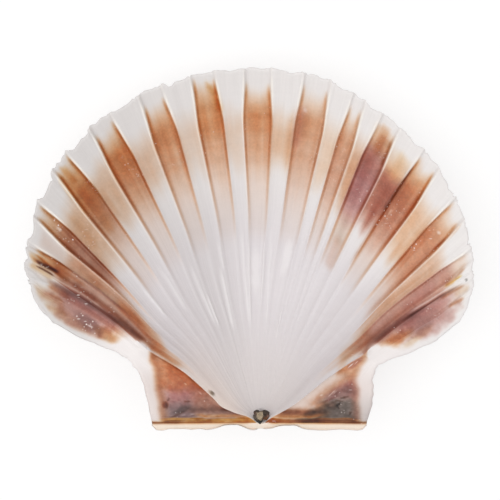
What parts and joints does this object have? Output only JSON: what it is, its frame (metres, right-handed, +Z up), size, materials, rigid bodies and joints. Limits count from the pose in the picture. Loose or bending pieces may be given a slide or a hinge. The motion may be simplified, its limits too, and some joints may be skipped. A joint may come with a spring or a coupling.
{
  "type": "scallop shell",
  "caption": "One valve of a scallop shell: a ribbed fan with two ears and a straight hinge, lying on its back with its hollow side up.",
  "frame": {"origin": "middle of the base of the part's box, on the surface that the valve rests on", "axes": "+Z up out of the hollow, +Y from the hinge towards the far rim, +X across the fan towards the ear on the right when the hollow is seen from above with the hinge nearest"},
  "size_m": [0.1204, 0.097, 0.0266],
  "materials": {
    "shell": "smooth calcite inside, satin and ribbed outside",
    "ligament": "dark, dried springy pad"
  },
  "bodies": {
    "root": {"valve": "shell", "ligament": "ligament"}
  },
  "joints": []
}
